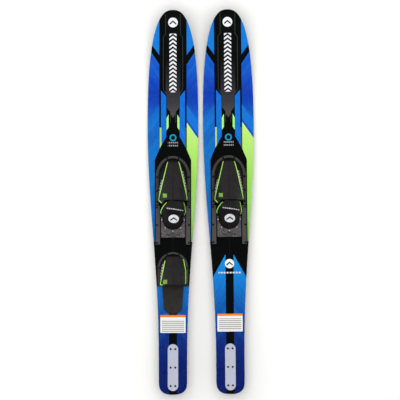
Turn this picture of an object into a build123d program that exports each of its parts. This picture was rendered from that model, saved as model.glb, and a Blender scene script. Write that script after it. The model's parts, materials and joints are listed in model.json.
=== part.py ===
from build123d import *
import math
import os

# A pair of combination water skis, millimetres. Each ski is drawn in its own ski frame: X across,
# Y along it with the tip at +Y, Z up from the flat of its base. place() then pitches each ski nose-down
# until its fin edge and its belly both rest on the floor, and sets the right ski beside the left one.

# Ski body
ski_length = 1664.0
max_width = 220.0
tail_width = 123.0
nose_length = 560.0
taper_start = 490.0
tail_round = 60.0
ski_thickness = 20.0
tail_thickness = 15.0
tip_thickness = 11.0
tail_flat = 232.0
tail_ramp = 100.0
rocker_length = 500.0
tip_rise = 90.0
deck_skin = 3.5
base_skin = 3.5
deck_edge_radius = 2.4
base_bevel = 2.4
tunnel_width = 74.0
tunnel_depth = 1.8

# Fin and its plate
fin_plate_length = 203.0
fin_plate_width = 45.4
fin_plate_thickness = 2.5
fin_plate_tail_gap = 16.0
fin_flange_thickness = 3.0
fin_blade_thickness = 6.0
fin_depth = 40.0
fin_blade_length = 160.0
fin_front_rake = 46.0
fin_rear_rake = 14.0
fin_screw_spacing = 20.4
fin_screw_pitch = 80.0
fin_screw_radius = 2.5
thread_radius = 2.4
fin_screw_head_radius = 4.6

# Toe frame, rails and their screws
frame_front = 202.0
frame_half_width = 74.6
frame_band = 13.0
frame_nose = 92.0
nose_band_share = 0.8
frame_height = 6.0
frame_rear = -10.0
flange_thickness = 2.0
rail_front = -14.0
rail_rear = -181.5
rail_height = 9.0
rail_lip_reach = 5.9
rail_width = 18.5
rack_pitch = 6.35
rack_depth = 2.0
screw_radius = 2.4
screw_head_radius = 4.4
screw_head_height = 2.6
insert_radius = 4.5
insert_depth = 11.0
insert_bore_radius = 2.45

# Toe upper, and the rear toe upper of the left ski
toe_wall = 6.0
toe_rear = 6.5
toe_height = 100.0
toe_rise_power = 0.62
toe_bed_thickness = 4.0
rear_frame_front = -215.0
rear_frame_end = -364.0
rear_frame_half_width = 66.0
rear_frame_band = 10.0
rear_screw_head_radius = 3.6
rear_frame_nose = 68.0
rear_upper_end = -357.0
rear_upper_height = 84.0
rear_pad_half_width = 44.0
rear_pad_end = -483.0
rear_pad_thickness = 5.0

# Heel slider, heel cup and lock
slider_rear = -151.0
slider_wide_front = -36.0
slider_tongue_front = 6.0
slider_tongue_half_width = 44.0
slider_flange_half_width = 61.5
slider_plate_thickness = 3.5
slider_cover_half_width = 51.0
slider_cover_thickness = 3.6
slider_cover_front = -62.0
slider_front_steps = 3
heel_centre = -72.0
heel_radius = 45.0
heel_wall = 6.0
heel_rim = 10.0
heel_height = 76.0
heel_rise_power = 0.5
heel_flare = 11.0
heel_cut_low = -49.0
heel_rim_low = 8.0
heel_trim_radius = 1.6
heel_bed_thickness = 5.0
badge_y = -72.0
badge_radius = 21.0
badge_thickness = 1.5
rivet_head_radius = 2.5
rivet_head_height = 1.1
rivet_radius = 1.6
lever_half_width = 9.0
lever_length = 16.8
lever_pin_y = -134.0
lever_pin_radius = 1.25
lever_boss_radius = 2.0
lever_thickness = 2.4
lever_pin_half = 13.0
lever_spring_x = 4.6
lever_wire_radius = 0.3
lock_bar_y = -144.0
lock_bar_width = 8.0
lock_bar_height = 2.2
lock_bar_travel = 3.0
trim_radius = 2.0
trim_start = 0.09
trim_end = 0.99
toe_trim_shares = (0.61, 0.95)
rear_trim_shares = (0.90, 0.93)

# Clearances
slide_clearance = 0.3
rack_clearance = 0.3
pin_clearance = 0.05
soft_clearance = 0.6
bed_side_gap = 4.5

# The pair on the floor
ski_spacing = 242.5
right_ski_yaw = 0.5
right_ski_lead = 3.0

tip_y = ski_length / 2
tail_y = -ski_length / 2
deck_z = ski_thickness
flange_top = deck_z + flange_thickness
rocker_start = tip_y - rocker_length
fin_plate_y = tail_y + fin_plate_tail_gap + fin_plate_length / 2
fin_front = fin_plate_y + fin_blade_length / 2
fin_rear = fin_plate_y - fin_blade_length / 2
fin_edge_y = (fin_front - fin_front_rake + fin_rear + fin_rear_rake) / 2
frame_inner = frame_half_width - frame_band
slider_bottom = deck_z + slide_clearance
slider_top = slider_bottom + slider_plate_thickness
cover_top = slider_top + slider_cover_thickness
groove_wall = slider_flange_half_width + 2 * slide_clearance
rail_outer = groove_wall - rail_lip_reach + rail_width
rail_screw_x = (groove_wall + rack_depth + rail_outer) / 2
heel_back = heel_centre - heel_radius
lever_pin_z = slider_top + slider_cover_thickness / 2
over = 2.0


def rest_slope():
    """Slope of the floor in the ski frame: it touches the fin's edge and is tangent to the rocker."""
    curve = tip_rise / rocker_length**2
    span = rocker_start - fin_edge_y
    return 2 * curve * (math.sqrt(span**2 + fin_depth / curve) - span)


rest_angle = math.degrees(math.atan(rest_slope()))


def floor_z(y):
    """Height of the floor in the ski frame at one place along the ski."""
    return -fin_depth + rest_slope() * (y - fin_edge_y)


def place(shape, right):
    """Set a shape drawn in the ski frame on the floor, as the left or the right ski."""
    slope = math.radians(rest_angle)
    drop = floor_z(0) * math.cos(slope)
    tip_reach = tip_y * math.cos(slope) + (tip_rise + tip_thickness) * math.sin(slope)
    middle_y = (tip_reach + tail_y * math.cos(slope)) / 2
    floor = Location((0, -middle_y, -drop), (-rest_angle, 0, 0))
    # the yawed ski's widest station comes inwards, so the pair shifts to stay centred
    inwards = (rocker_start - middle_y) * math.sin(math.radians(right_ski_yaw)) / 2
    half = ski_spacing / 2
    side = Location((half + inwards, right_ski_lead / 2, 0), (0, 0, right_ski_yaw))
    if not right:
        side = Location((inwards - half, -right_ski_lead / 2, 0))
    return side * floor * shape


def round_end(distance, length, power):
    """Share of the full half width at a distance from a rounded end."""
    share = min(max(distance / length, 0), 1)
    return (1 - (1 - share) ** power) ** 0.4


def half_width(y):
    """Half width of the ski: full from the nose on, then a smooth taper to the tail."""
    share = min(max((tip_y - taper_start - y) / (ski_length - taper_start), 0), 1)
    # the taper ends a little ahead of the tail, where the sides run parallel
    share = min(share * 1.13, 1)
    taper = ((1 + math.cos(math.pi * share)) / 2) ** 1.15
    middle = (tail_width + (max_width - tail_width) * taper) / 2
    return middle * round_end(tip_y - y, nose_length, 3) * round_end(y - tail_y, tail_round, 3)


def outline_heading(y):
    """Direction of travel round the outline's right side, from the tip to the tail."""
    if y in (tip_y, tail_y):
        return (math.copysign(1, y), 0)
    step = 0.01
    return ((half_width(y - step) - half_width(y + step)) / (2 * step), -1)


def outline_face():
    """Plan outline of the ski: short cubic curves between stations, smooth where they meet."""
    nose = [tip_y - nose_length * (k / 7) ** 2.2 for k in range(8)]
    tail = [tail_y + tail_round * (k / 3) ** 2.2 for k in range(4)]
    steps = 7
    run = (nose[-1] - tail[-1]) / steps
    middle = [nose[-1] - run * k for k in range(1, steps)]
    stations = nose + middle + tail[::-1]
    edges = []
    for side in (1, -1):
        for start, end in zip(stations, stations[1:]):
            points = [(side * half_width(y), y) for y in (start, end)]
            headings = [outline_heading(y) for y in (start, end)]
            edges.append(Spline(points, tangents=[(side * x, y) for x, y in headings]))
    return make_face(edges)


def deck_line(drop):
    """Side-view line of the deck, lowered by drop, from behind the tail to past the tip."""
    end = tail_y - over
    flat_end = tail_y + tail_flat
    ramp_end = flat_end + tail_ramp
    middle = (flat_end + ramp_end) / 2
    low = tail_thickness - drop
    high = ski_thickness - drop
    reach = 1 + over / rocker_length
    rise = (tip_rise + tip_thickness - ski_thickness) * reach**2
    return [
        Line((end, low), (flat_end, low)),
        Bezier((flat_end, low), (middle, low), (middle, high), (ramp_end, high)),
        Line((ramp_end, high), (rocker_start, high)),
        Bezier(
            (rocker_start, high),
            (rocker_start + rocker_length * reach / 2, high),
            (rocker_start + rocker_length * reach, high + rise),
        ),
    ]


def base_line(lift):
    """Side-view line of the base, raised by lift."""
    end = tail_y - over
    reach = 1 + over / rocker_length
    return [
        Line((end, lift), (rocker_start, lift)),
        Bezier(
            (rocker_start, lift),
            (rocker_start + rocker_length * reach / 2, lift),
            (rocker_start + rocker_length * reach, lift + tip_rise * reach**2),
        ),
    ]


def layer(upper, lower):
    """One moulded layer of the ski between two side-view lines, cut to the plan outline."""
    ends = [Line(upper[0] @ 0, lower[0] @ 0), Line(upper[-1] @ 1, lower[-1] @ 1)]
    slab = extrude(Plane.YZ * make_face(upper + lower + ends), amount=max_width, both=True)
    column = extrude(outline_face(), amount=tip_rise + 4 * ski_thickness)
    return slab & Pos(0, 0, -ski_thickness) * column


def post(x, y, low, high, radius):
    """Round post standing at one place."""
    return Pos(x, y, low) * extrude(Circle(radius), amount=high - low)


def block(x_low, x_high, y_low, y_high, z_low, z_high):
    """Rectangular block between six faces."""
    size = Box(x_high - x_low, y_high - y_low, z_high - z_low, align=(Align.MIN,) * 3)
    return Pos(x_low, y_low, z_low) * size


def rod(x_low, x_high, y, z, radius):
    """Round rod lying across the ski."""
    return Plane(origin=(x_low, y, z), x_dir=(0, 1, 0), z_dir=(1, 0, 0)) * extrude(
        Circle(radius), amount=x_high - x_low
    )


def screw(x, y, top, bottom, radius, head_radius, head_height):
    """Pan-head screw with a cross recess, its head's top at one height."""
    body = post(x, y, top - head_height, top, head_radius) + post(x, y, bottom, top, radius)
    reach = head_radius * 0.55
    slot = head_radius * 0.13
    depth = head_height * 0.6
    for wide, tall in ((reach, slot), (slot, reach)):
        body -= block(x - wide, x + wide, y - tall, y + tall, top - depth, top + over)
    return body


def horseshoe_places(half, nose, closed_y, band, spread, arms):
    """Screw places on a horseshoe band: two round its nose, and one on each arm per arm place."""
    middle = half - band / 2
    way = math.copysign(1, arms[0] - closed_y)
    centre = closed_y + way * nose
    reach = (nose - band * nose_band_share / 2) * math.sqrt(1 - spread**2)
    places = [(side * middle * spread, centre - way * reach) for side in (-1, 1)]
    return places + [(side * middle, y) for side in (-1, 1) for y in arms]


def toe_screw_places():
    """Screws through the toe frame."""
    nose_end = frame_front - frame_nose
    arms = [nose_end, (nose_end + frame_rear) / 2, frame_rear + frame_band]
    return horseshoe_places(frame_half_width, frame_nose, frame_front, frame_band, 0.36, arms)


def rear_screw_places():
    """Screws through the rear toe frame."""
    arms = [rear_frame_front - rear_frame_nose, rear_frame_end + rear_frame_band]
    band = rear_frame_band
    return horseshoe_places(rear_frame_half_width, rear_frame_nose, rear_frame_front, band, 0.42, arms)


def rail_screw_places(side):
    """Three screws down one rail."""
    inset = 1.6 * screw_head_radius
    rows = [rail_rear + inset, (rail_rear + rail_front) / 2, rail_front - inset]
    return [(side * rail_screw_x, y) for y in rows]


def insert_places(right):
    """Every threaded insert in one ski's deck."""
    places = toe_screw_places() + rail_screw_places(-1) + rail_screw_places(1)
    if not right:
        places += rear_screw_places()
    return places


def fin_screw_places():
    """Three pairs of screws through the fin plate."""
    rows = [fin_plate_y + k * fin_screw_pitch for k in (-1, 0, 1)]
    return [(side * fin_screw_spacing / 2, y) for side in (-1, 1) for y in rows]


def rim_edges(skin, height):
    """Outer rim of a ski layer where it follows one side-view height."""
    rim = []
    for edge in skin.edges():
        middle = edge @ 0.5
        on_side = abs(middle.X) > 0.93 * half_width(middle.Y)
        if on_side and abs(middle.Z - height(middle.Y)) < 0.5 and edge.length > over:
            rim.append(edge)
    return rim


def rocker_share(y):
    """How far along the rocker a place is: 0 behind it and 1 at the tip."""
    return max(y - rocker_start, 0) / rocker_length


def base_z(y):
    """Height of the base at one place along the ski."""
    return tip_rise * rocker_share(y) ** 2


def top_z(y):
    """Height of the deck at one place along the ski."""
    ramp = min(max((y - tail_y - tail_flat) / tail_ramp, 0), 1)
    lift = (tip_rise + tip_thickness - ski_thickness) * rocker_share(y) ** 2
    return tail_thickness + (ski_thickness - tail_thickness) * (3 * ramp**2 - 2 * ramp**3) + lift


def ski_deck(right):
    """Moulded top skin with its rounded rim, drilled for the inserts and the fin screws."""
    skin = layer(deck_line(0), deck_line(deck_skin))
    skin = fillet(rim_edges(skin, top_z), deck_edge_radius)
    for x, y in insert_places(right):
        skin -= post(x, y, 0, deck_z + over, insert_radius)
    for x, y in fin_screw_places():
        skin -= post(x, y, 0, deck_z, fin_screw_radius)
    return skin


def ski_core(right):
    """Foam core sealed between the two skins, with a pocket for each insert."""
    core = layer(deck_line(deck_skin), base_line(base_skin))
    for x, y in insert_places(right):
        core -= post(x, y, deck_z - insert_depth, deck_z, insert_radius)
    for x, y in fin_screw_places():
        core -= post(x, y, 0, deck_z, fin_screw_radius)
    return core


def ski_base():
    """Moulded base skin with bevelled rim and a shallow tunnel that runs out under the rocker."""
    skin = layer(base_line(base_skin), base_line(0))
    skin = chamfer(rim_edges(skin, base_z), base_bevel)
    run_out = rocker_start - tunnel_width * 2
    side = Polyline(
        (tail_y - over, -over),
        (tail_y - over, tunnel_depth),
        (run_out, tunnel_depth),
        (rocker_start, 0),
        (rocker_start, -over),
        close=True,
    )
    skin -= extrude(Plane.YZ * make_face(side), amount=tunnel_width / 2, both=True)
    for x, y in fin_screw_places():
        skin -= post(x, y, -over, deck_z, fin_screw_radius)
    return skin


def inserts(right):
    """Threaded inserts, flush with the deck, each with a retaining groove."""
    solids = []
    for x, y in insert_places(right):
        low = deck_z - insert_depth
        body = post(x, y, low, deck_z, insert_radius)
        groove = post(x, y, low + 3, low + 4.5, insert_radius + over)
        groove -= post(x, y, low, deck_z, insert_radius - 0.8)
        solids.append(body - groove - post(x, y, low - over, deck_z + over, insert_bore_radius))
    return solids


def fin_plate_face():
    """Plan shape of the fin plate and of the fin's flange: a bar with round ends."""
    return Pos(0, fin_plate_y) * Rot(0, 0, 90) * SlotOverall(fin_plate_length, fin_plate_width)


def fin_plate():
    """Pale plate on the tail that the fin screws pull down on, countersunk for their heads."""
    top = tail_thickness + fin_plate_thickness
    plate = Pos(0, 0, tail_thickness) * extrude(fin_plate_face(), amount=fin_plate_thickness)
    plate = fillet(plate.faces().sort_by(Axis.Z)[-1].edges(), 0.8)
    for x, y in fin_screw_places():
        plate -= fin_screw_shape(x, y, top)
    return plate


def fin_screw_shape(x, y, top):
    """Countersunk screw, its head's top at one height, long enough to reach the fin's flange."""
    drop = fin_screw_head_radius - thread_radius
    cone = Cone(thread_radius, fin_screw_head_radius, drop, align=(Align.CENTER, Align.CENTER, Align.MIN))
    bottom = tunnel_depth - fin_flange_thickness
    return Pos(x, y, top - drop) * cone + post(x, y, bottom, top - drop / 2, thread_radius)


def fin_screws():
    """Six countersunk screws with cross recesses."""
    top = tail_thickness + fin_plate_thickness
    solids = []
    for x, y in fin_screw_places():
        body = fin_screw_shape(x, y, top)
        for wide, tall in ((2.4, 0.5), (0.5, 2.4)):
            body -= block(x - wide, x + wide, y - tall, y + tall, top - 1.4, top + over)
        solids.append(body)
    return solids


def fin():
    """Moulded fin: a flange in the tunnel and a raked blade whose edge stands flat on the floor."""
    low = tunnel_depth - fin_flange_thickness
    flange = Pos(0, 0, low) * extrude(fin_plate_face(), amount=fin_flange_thickness)
    tip = (fin_front - fin_front_rake, floor_z(fin_front - fin_front_rake))
    heel = (fin_rear + fin_rear_rake, floor_z(fin_rear + fin_rear_rake))
    bow = (fin_front - fin_front_rake * 0.36, -fin_depth * 0.55)
    sides = [
        ThreePointArc((fin_front, low), bow, tip),
        Line(tip, heel),
        Line(heel, (fin_rear, low)),
        Line((fin_rear, low), (fin_rear, 0)),
        Line((fin_rear, 0), (fin_front, 0)),
        Line((fin_front, 0), (fin_front, low)),
    ]
    blade = extrude(Plane.YZ * make_face(sides), amount=fin_blade_thickness / 2, both=True)
    body = flange + blade
    for x, y in fin_screw_places():
        body -= post(x, y, low - over, 0, thread_radius) + post(x, y, 0, deck_z, thread_radius)
    return body


def plan_face(closed_y, open_y, nose, half):
    """Plan of a horseshoe's outline: half an ellipse at the closed end, straight sides to the other."""
    way = math.copysign(1, open_y - closed_y)
    centre = closed_y + way * nose
    straight = abs(open_y - centre)
    return Pos(0, centre) * Ellipse(half, nose) + Pos(0, (centre + open_y) / 2) * Rectangle(
        2 * half, straight
    )


def horseshoe(closed_y, open_y, nose, half, band, low, height):
    """Moulded horseshoe band with rounded top edges."""
    way = math.copysign(1, open_y - closed_y)
    nose_band = band * nose_band_share
    ring = plan_face(closed_y, open_y, nose, half)
    ring -= plan_face(closed_y + way * nose_band, open_y + way * band, nose - nose_band, half - band)
    body = Pos(0, 0, low) * extrude(ring, amount=height)
    rim = body.faces().sort_by(Axis.Z)[-1].edges()
    return fillet(rim, min(band, height) * 0.22)


def hood_station(shape, distance):
    """Half width and height of a hood at a distance from its closed end."""
    share = min(distance / shape["nose"], 1)
    half = shape["half"] * math.sqrt(1 - (1 - share) ** 2)
    spread = min(max((distance - shape["nose"] * 1.2) / 25, 0), 1)
    half += shape["flare"] * spread**2 * (3 - 2 * spread)
    height = shape["height"] * (distance / abs(shape["open"] - shape["closed"])) ** shape["power"]
    return half, height


def hood(shape):
    """Soft hood lofted through half-ellipse arches, low at its closed end and high at the other."""
    way = math.copysign(1, shape["open"] - shape["closed"])
    length = abs(shape["open"] - shape["closed"])
    arches = []
    for k in range(1, 10):
        distance = length * (k / 9) ** 2
        half, height = hood_station(shape, distance)
        arc = EllipticalCenterArc((0, 0), half, height, arc_size=180)
        plane = Plane(
            origin=(0, shape["closed"] + way * distance, shape["floor"]), x_dir=(1, 0, 0), z_dir=(0, -1, 0)
        )
        arches.append(plane * make_face([arc, Line(arc @ 1, arc @ 0)]))
    return loft(arches)


def inside(shape, wall):
    """Hollow of a hood: the same form, smaller by the wall and thicker at the closed end."""
    way = math.copysign(1, shape["open"] - shape["closed"])
    inner = dict(shape)
    inner["closed"] += way * 2 * wall
    inner["open"] += way * over
    inner["nose"] -= wall
    inner["half"] -= wall
    inner["height"] -= wall
    return inner


def grown(shape, amount):
    """The same hood, larger all round by an amount."""
    way = math.copysign(1, shape["open"] - shape["closed"])
    outer = dict(shape)
    outer["closed"] -= way * amount
    outer["half"] += amount
    outer["nose"] += amount
    outer["height"] += amount
    return outer


def toe_shape():
    """Form of the toe upper, inside the toe frame."""
    nose_band = frame_band * nose_band_share
    return {
        "closed": frame_front - nose_band - soft_clearance,
        "open": toe_rear,
        "nose": frame_nose - nose_band,
        "half": frame_inner - soft_clearance,
        "height": toe_height,
        "power": toe_rise_power,
        "floor": deck_z,
        "flare": 0,
    }


def rear_shape():
    """Form of the rear toe upper, inside the rear frame."""
    nose_band = rear_frame_band * nose_band_share
    return {
        "closed": rear_frame_front - nose_band - soft_clearance,
        "open": rear_upper_end,
        "nose": rear_frame_nose - nose_band,
        "half": rear_frame_half_width - rear_frame_band - soft_clearance,
        "height": rear_upper_height,
        "power": toe_rise_power,
        "floor": deck_z,
        "flare": 0,
    }


def heel_shape():
    """Form of the heel cup, leaning forward over the slider."""
    return {
        "closed": heel_back,
        "open": heel_rim,
        "nose": heel_radius,
        "half": heel_radius,
        "height": heel_height,
        "power": heel_rise_power,
        "floor": slider_top,
        "flare": heel_flare,
    }


def flanged_upper(shape, frame_outline, screws):
    """Toe upper: a hood with a flange that its frame clamps to the deck."""
    flange = Pos(0, 0, deck_z) * extrude(frame_outline, amount=flange_thickness)
    upper = hood(shape) + flange - hood(inside(shape, toe_wall))
    way = math.copysign(1, shape["open"] - shape["closed"])
    reach = sorted((shape["open"], shape["open"] + way * (frame_half_width + frame_band)))
    inner_half = shape["half"] - toe_wall
    upper -= block(-inner_half, inner_half, reach[0], reach[1], deck_z - over, flange_top + over)
    for x, y in screws:
        upper -= post(x, y, deck_z - over, flange_top + over, screw_radius + 2 * pin_clearance)
    return upper


def screwed(frame, places, top, head_radius):
    """A clamped piece with a hole and a head recess at each screw."""
    for x, y in places:
        frame -= post(x, y, 0, top + over, screw_radius + 2 * pin_clearance)
        frame -= post(x, y, top - screw_head_height, top + over, head_radius + 4 * pin_clearance)
    return frame


def toe_upper():
    """Toe upper with its clamped flange."""
    edge = soft_clearance * 2
    outline = plan_face(frame_front - edge, frame_rear + edge, frame_nose - edge, frame_half_width - edge)
    return flanged_upper(toe_shape(), outline, toe_screw_places())


def rear_upper():
    """Rear toe upper with its clamped flange."""
    edge = soft_clearance * 2
    outline = plan_face(
        rear_frame_front - edge, rear_frame_end + edge, rear_frame_nose - edge, rear_frame_half_width - edge
    )
    return flanged_upper(rear_shape(), outline, rear_screw_places())


def toe_frame():
    """Horseshoe frame that clamps the toe upper."""
    body = horseshoe(
        frame_front, frame_rear, frame_nose, frame_half_width, frame_band, flange_top, frame_height
    )
    return screwed(body, toe_screw_places(), flange_top + frame_height, screw_head_radius)


def rear_frame():
    """Horseshoe frame that clamps the rear toe upper."""
    half = rear_frame_half_width
    band = rear_frame_band
    body = horseshoe(rear_frame_front, rear_frame_end, rear_frame_nose, half, band, flange_top, frame_height)
    return screwed(body, rear_screw_places(), flange_top + frame_height, rear_screw_head_radius)


def frame_screws(places, top, head_radius):
    """Screws that end inside their inserts."""
    bottom = deck_z - insert_depth + 1
    return [screw(x, y, top, bottom, screw_radius, head_radius, screw_head_height) for x, y in places]


def binding_screws():
    """All screws of the toe frame and both rails."""
    rails = rail_screw_places(-1) + rail_screw_places(1)
    solids = frame_screws(toe_screw_places(), flange_top + frame_height, screw_head_radius)
    return solids + frame_screws(rails, deck_z + rail_height, screw_head_radius)


def edging(points, radius):
    """Round rubber edging along a smooth line."""
    line = Spline(points)
    return sweep(Plane(origin=line @ 0, z_dir=line % 0) * Circle(radius), path=line)


def surface_point(shape, x_share, distance):
    """Point on a hood's outside at a share of its half width."""
    way = math.copysign(1, shape["open"] - shape["closed"])
    half, height = hood_station(shape, distance)
    z = shape["floor"] + height * math.sqrt(1 - x_share**2)
    return (x_share * half, shape["closed"] + way * distance, z)


def toe_trim(shape, shares):
    """Pair of edgings, straight in plan, from the nose of a toe upper to its open edge."""
    length = abs(shape["open"] - shape["closed"])
    start, end = length * trim_start, length * trim_end
    first = shares[0] * hood_station(shape, start)[0]
    last = shares[1] * hood_station(shape, end)[0]
    solids = []
    for side in (-1, 1):
        points = []
        for k in range(6):
            distance = start + (end - start) * k / 5
            across = first + (last - first) * k / 5
            points.append(surface_point(shape, side * across / hood_station(shape, distance)[0], distance))
        solids.append(edging(points, trim_radius))
    return solids


def cup_rim_y(height):
    """Where the heel cup's slanted rim lies at a height above the slider."""
    share = (height - heel_rim_low) / (heel_height - heel_rim_low)
    return heel_cut_low + (heel_rim - heel_cut_low) * share


def heel_upper():
    """Heel cup: a hood that leans forward, its rim cut on a slant from the wings to the top."""
    shape = heel_shape()
    cup = hood(shape) - hood(inside(shape, heel_wall))
    low = slider_top + heel_rim_low
    ahead = heel_rim + heel_height
    cut = Polyline(
        (heel_cut_low, slider_top - over),
        (heel_cut_low, low),
        (cup_rim_y(2 * heel_height), slider_top + 2 * heel_height),
        (ahead, slider_top + 2 * heel_height),
        (ahead, slider_top - over),
        close=True,
    )
    return cup - extrude(Plane.YZ * make_face(cut), amount=max_width, both=True)


def heel_trim():
    """Edging down the slanted rim of each wing."""
    shape = heel_shape()
    solids = []
    for side in (-1, 1):
        points = []
        for k in range(6):
            height = heel_rim_low + (heel_height * 0.74 - heel_rim_low) * k / 5
            y = cup_rim_y(height) - heel_trim_radius
            half, crown = hood_station(shape, y - shape["closed"])
            points.append((side * half * math.sqrt(1 - (height / crown) ** 2), y, slider_top + height))
        solids.append(edging(points, heel_trim_radius))
    return solids


def heel_badge():
    """Plain round rubber badge bonded to the back of the heel cup."""
    shape = heel_shape()
    column = post(0, badge_y, slider_top, slider_top + 2 * heel_height, badge_radius)
    return (hood(grown(shape, badge_thickness)) & column) - hood(shape)


def bed(shape, far_y, thickness, low):
    """Foam bed that fits inside a hood."""
    hollow = inside(shape, toe_wall)
    way = math.copysign(1, shape["open"] - shape["closed"])
    closed = hollow["closed"] + way * 2 * thickness
    face = plan_face(closed, far_y, hollow["nose"], hollow["half"] - bed_side_gap)
    return Pos(0, 0, low) * extrude(face, amount=thickness)


def toe_bed():
    """Foam bed under the toes, ahead of the slider's furthest travel."""
    rear = slider_tongue_front + slider_front_steps * rack_pitch + over
    body = bed(toe_shape(), toe_rear, toe_bed_thickness, deck_z)
    half = frame_half_width
    return body - block(-half, half, frame_rear, rear, deck_z - over, deck_z + toe_bed_thickness + over)


def heel_bed():
    """Foam bed under the heel, on the slider carriage."""
    shape = heel_shape()
    shape["flare"] = 0
    return bed(shape, slider_tongue_front - over, heel_bed_thickness, slider_top)


def rear_pad():
    """Long foam pad of the rear toe piece, its free end rounded."""
    body = bed(rear_shape(), rear_pad_end, rear_pad_thickness, deck_z)
    free = plan_face(rear_pad_end, rear_frame_front, rear_pad_half_width, rear_pad_half_width)
    return body & Pos(0, 0, deck_z) * extrude(free, amount=rear_pad_thickness)


def rail(side):
    """Rail with a lip over the slider's flange and a toothed rack in its groove wall."""
    lip_low = slider_top + slide_clearance
    top = deck_z + rail_height
    lip_x = groove_wall - rail_lip_reach
    section = Polyline(
        (groove_wall, deck_z),
        (rail_outer, deck_z),
        (rail_outer, top - 2),
        (rail_outer - 2, top),
        (lip_x + 1, top),
        (lip_x, top - 1),
        (lip_x, lip_low),
        (groove_wall, lip_low),
        close=True,
    )
    body = extrude(Plane.XZ * make_face(section), amount=rail_front - rail_rear)
    body = Pos(0, rail_front, 0) * body
    count = int((rail_front - rail_rear - 2 * rack_pitch) / rack_pitch)
    for k in range(count):
        y = rail_rear + rack_pitch * (k + 1.25)
        notch = block(
            groove_wall - 0.1, groove_wall + rack_depth, y, y + rack_pitch / 2, deck_z - over, lip_low - 0.4
        )
        body -= notch
    body = screwed(body, rail_screw_places(1), top, screw_head_radius)
    return body if side > 0 else mirror(body, about=Plane.YZ)


def slider_carriage():
    """Plate that runs in the rails' grooves, with a narrow tongue ahead and a channel for the bars."""
    low = slider_bottom
    half = slider_flange_half_width
    tongue = slider_tongue_half_width
    plate = block(-half, half, slider_rear, slider_wide_front, low, slider_top)
    plate += block(-tongue, tongue, slider_wide_front - over, slider_tongue_front, low, slider_top)
    upright = [edge for edge in plate.edges().filter_by(Axis.Z) if abs((edge @ 0.5).X) > tongue - 1]
    plate = fillet(upright, 3)
    channel = lock_bar_width / 2 + 3 * pin_clearance
    roof = low + lock_bar_height + 2 * pin_clearance
    plate -= block(-half - over, half + over, lock_bar_y - channel, lock_bar_y + channel, low - over, roof)
    pocket = lever_boss_radius + 4 * slide_clearance
    wide = lever_half_width + slide_clearance
    floor = lever_pin_z - lever_boss_radius - slide_clearance
    plate -= block(-wide, wide, lever_pin_y - pocket, lever_pin_y + pocket, floor, slider_top + over)
    for x, y in rivet_places():
        plate -= post(x, y, low - over, slider_top + over, rivet_radius)
    return plate


def rivet_places():
    """Five rivets round the back of the heel."""
    edge = (heel_radius + slider_cover_half_width) / 2
    ring = heel_radius + 2 * rivet_head_radius
    diagonal = ring * math.sin(math.radians(42)), heel_centre - ring * math.cos(math.radians(42))
    sides = [(side * edge, heel_centre - 3) for side in (-1, 1)]
    sides += [(side * diagonal[0], diagonal[1]) for side in (-1, 1)]
    return sides + [(0, heel_back - 2.6 * rivet_head_radius)]


def slider_cover():
    """Textured tread plate riveted over the carriage, cut out round the heel and for the lever."""
    front = slider_cover_front
    half = slider_cover_half_width
    plate = block(-half, half, slider_rear, front, slider_top, cover_top)
    plate = fillet(plate.edges().filter_by(Axis.Z).sort_by(Axis.Y)[:2], 3)
    cup = plan_face(heel_back - soft_clearance, front + over, heel_radius, heel_radius + soft_clearance)
    plate -= Pos(0, 0, slider_top - over) * extrude(cup, amount=slider_cover_thickness + 2 * over)
    wide = lever_half_width + slide_clearance
    ahead = lever_pin_y + lever_boss_radius + 4 * slide_clearance
    plate -= block(-wide, wide, slider_rear - over, ahead, slider_top - over, cover_top + over)
    plate -= rod(-lever_pin_half, lever_pin_half, lever_pin_y, lever_pin_z, lever_pin_radius)
    for x, y in rivet_places():
        plate -= post(x, y, slider_top - over, cover_top + over, rivet_radius)
    return plate


def slider_rivets():
    """Domed rivets through the cover and the carriage."""
    solids = []
    for x, y in rivet_places():
        head = post(x, y, cover_top, cover_top + rivet_head_height, rivet_head_radius)
        head = fillet(head.faces().sort_by(Axis.Z)[-1].edges(), rivet_head_height * 0.8)
        solids.append(head + post(x, y, slider_bottom, cover_top, rivet_radius))
    return solids


def lock_lever():
    """Lock lever: a boss on its pin, with room beside it for the spring, and a finger tab."""
    low = slider_top + 0.4
    high = low + lever_thickness
    half = lever_half_width
    rear = lever_pin_y - lever_length
    bridge = lever_pin_y - lever_boss_radius - 0.8
    body = rod(-half, lever_spring_x - 0.6, lever_pin_y, lever_pin_z, lever_boss_radius)
    body += block(-half, lever_spring_x - 0.6, bridge - 0.5, lever_pin_y, low, high)
    tab = block(-half, half, rear, bridge, low, high)
    tab += block(-half * 0.7, half * 0.7, rear, rear + 3.5, high - 0.5, cover_top + 1.6)
    body += fillet(tab.edges().filter_by(Axis.Z).sort_by(Axis.Y)[:2], 1.5)
    return body - rod(-half - over, half + over, lever_pin_y, lever_pin_z, lever_pin_radius + pin_clearance)


def lever_pin():
    """Hinge pin of the lock lever."""
    return rod(-lever_pin_half, lever_pin_half, lever_pin_y, lever_pin_z, lever_pin_radius)


def lever_spring():
    """Torsion spring round the pin, in the room beside the lever's boss."""
    turns = 4
    length = lever_half_width - lever_spring_x - 0.6
    radius = lever_pin_radius + 2 * lever_wire_radius
    start = (lever_spring_x, lever_pin_y, lever_pin_z)
    coil = Helix(length / turns, length, radius, center=start, direction=(1, 0, 0))
    section = Plane(origin=coil @ 0, z_dir=coil % 0) * Circle(lever_wire_radius)
    return sweep(section, path=coil, is_frenet=True)


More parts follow.
